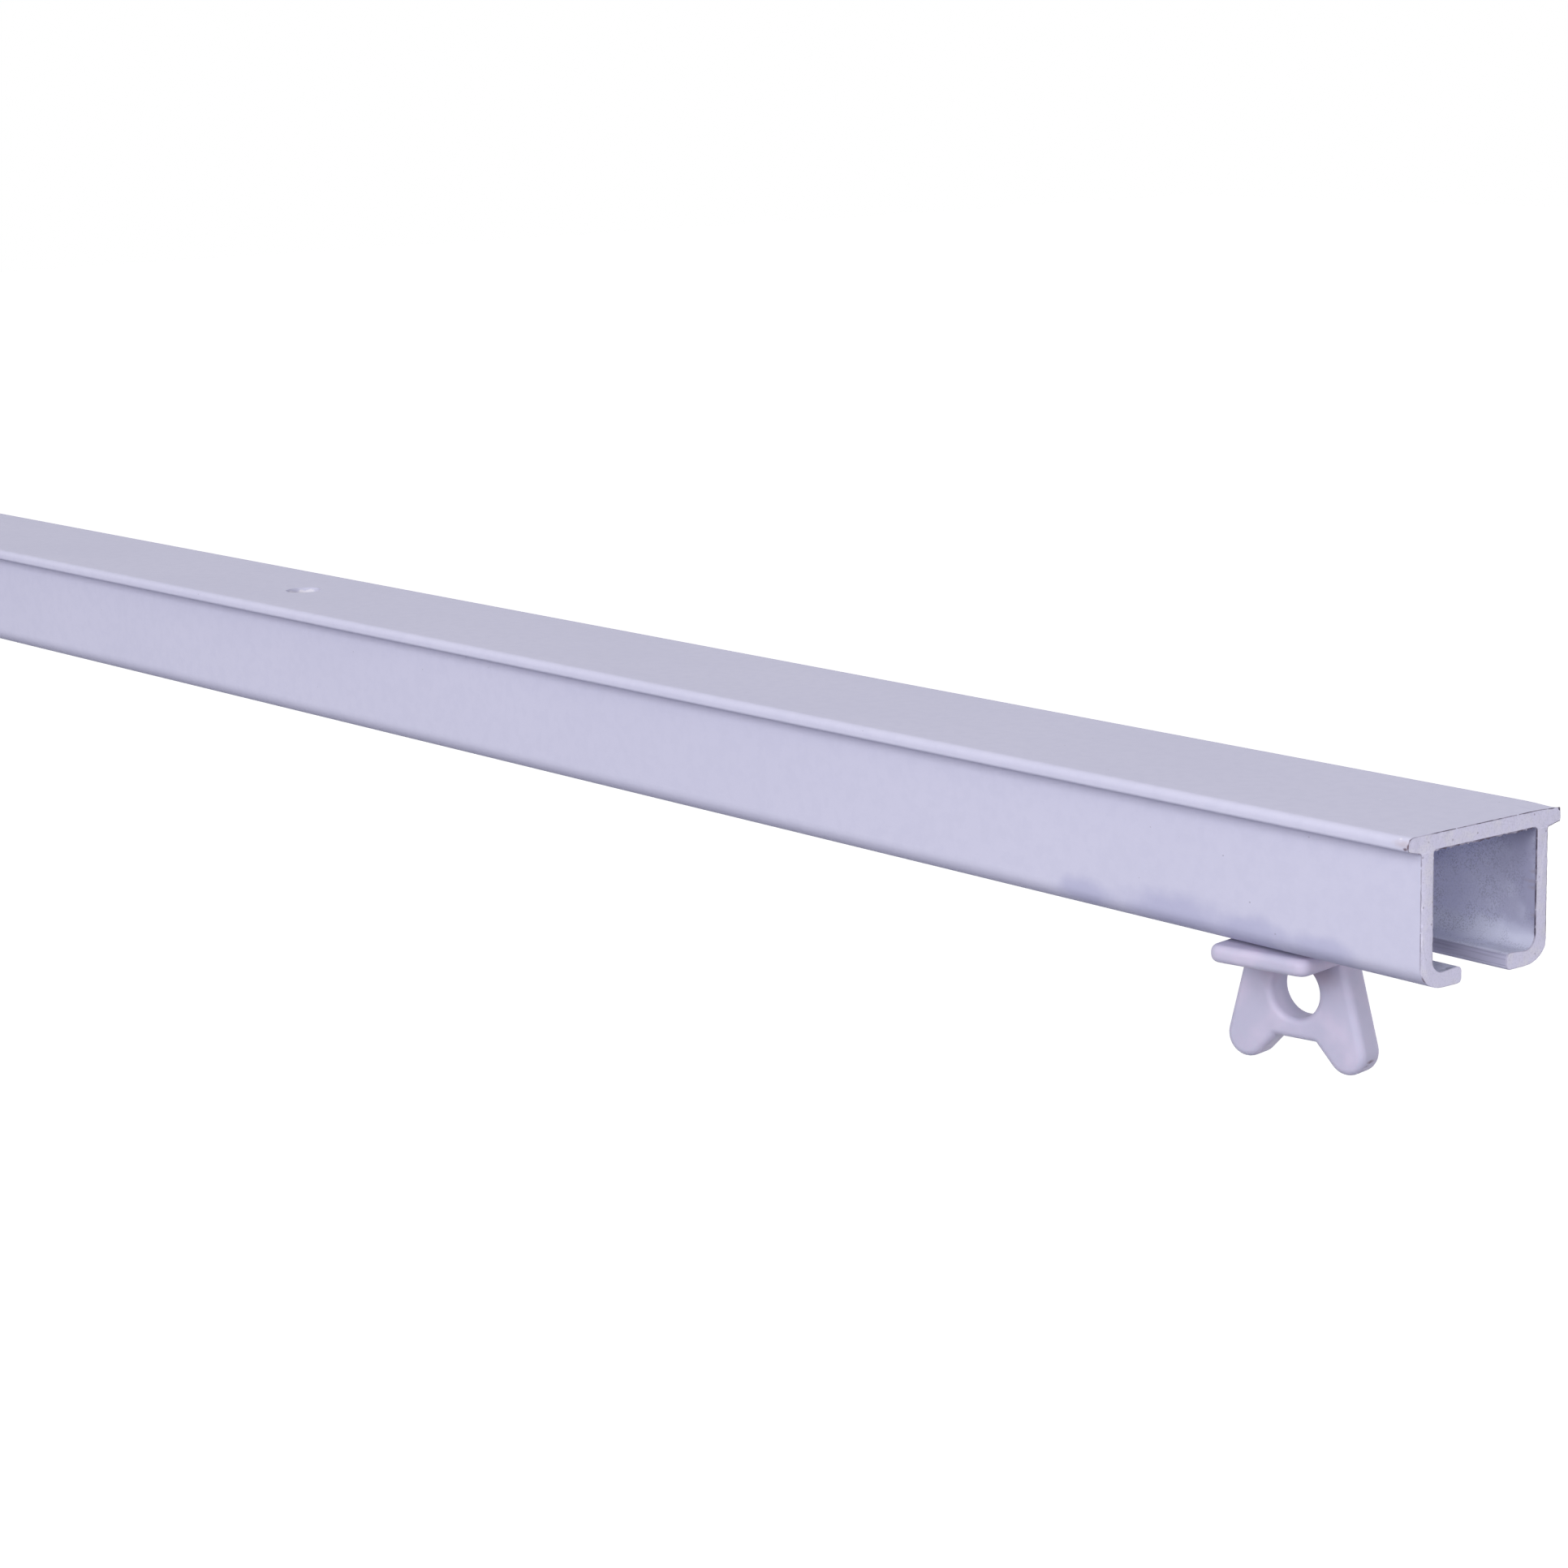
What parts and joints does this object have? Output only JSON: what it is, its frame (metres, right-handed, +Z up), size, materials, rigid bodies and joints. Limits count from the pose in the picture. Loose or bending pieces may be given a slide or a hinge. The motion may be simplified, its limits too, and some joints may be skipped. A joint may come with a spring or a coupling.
{
  "type": "curtain track",
  "caption": "Ceiling curtain track: a white flanged box rail with a slot along its underside, and a roller runner whose eye hangs below.",
  "frame": {"origin": "centre of the rail's top face, the face that is screwed to the ceiling", "axes": "+X along the rail towards the sawn end that the runner stands near, +Z up into the ceiling, +Y across the rail away from the front"},
  "size_m": [0.6, 0.02, 0.0264],
  "materials": {
    "rail_coating": "satin white powder coat, slightly lavender, bare at the sawn end",
    "runner_nylon": "natural white nylon, slightly translucent",
    "wheel_nylon": "natural white nylon, satin",
    "axle_steel": "zinc plated"
  },
  "bodies": {
    "rail": {"rail": "rail_coating"},
    "runner": {"runner_body": "runner_nylon", "axle": "axle_steel"},
    "near_wheel": {"near_wheel": "wheel_nylon"},
    "far_wheel": {"far_wheel": "wheel_nylon"}
  },
  "joints": [
    {"name": "runner_slide", "type": "slide", "parent": "rail", "child": "runner", "axis": [1, 0, 0], "range_m": [-0.57157, 0.01507]},
    {"name": "near_wheel_spin", "type": "hinge", "parent": "runner", "child": "near_wheel", "pos_m": [0.27825, 0, -0.0078], "axis": [-0.165, 0.9863, 0], "continuous": true},
    {"name": "far_wheel_spin", "type": "hinge", "parent": "runner", "child": "far_wheel", "pos_m": [0.27825, 0, -0.0078], "axis": [-0.165, 0.9863, 0], "continuous": true}
  ],
  "couplings": [
    {"joint": "near_wheel_spin", "follows": "runner_slide", "rad_per_m": 219.18},
    {"joint": "far_wheel_spin", "follows": "runner_slide", "rad_per_m": 219.18}
  ]
}
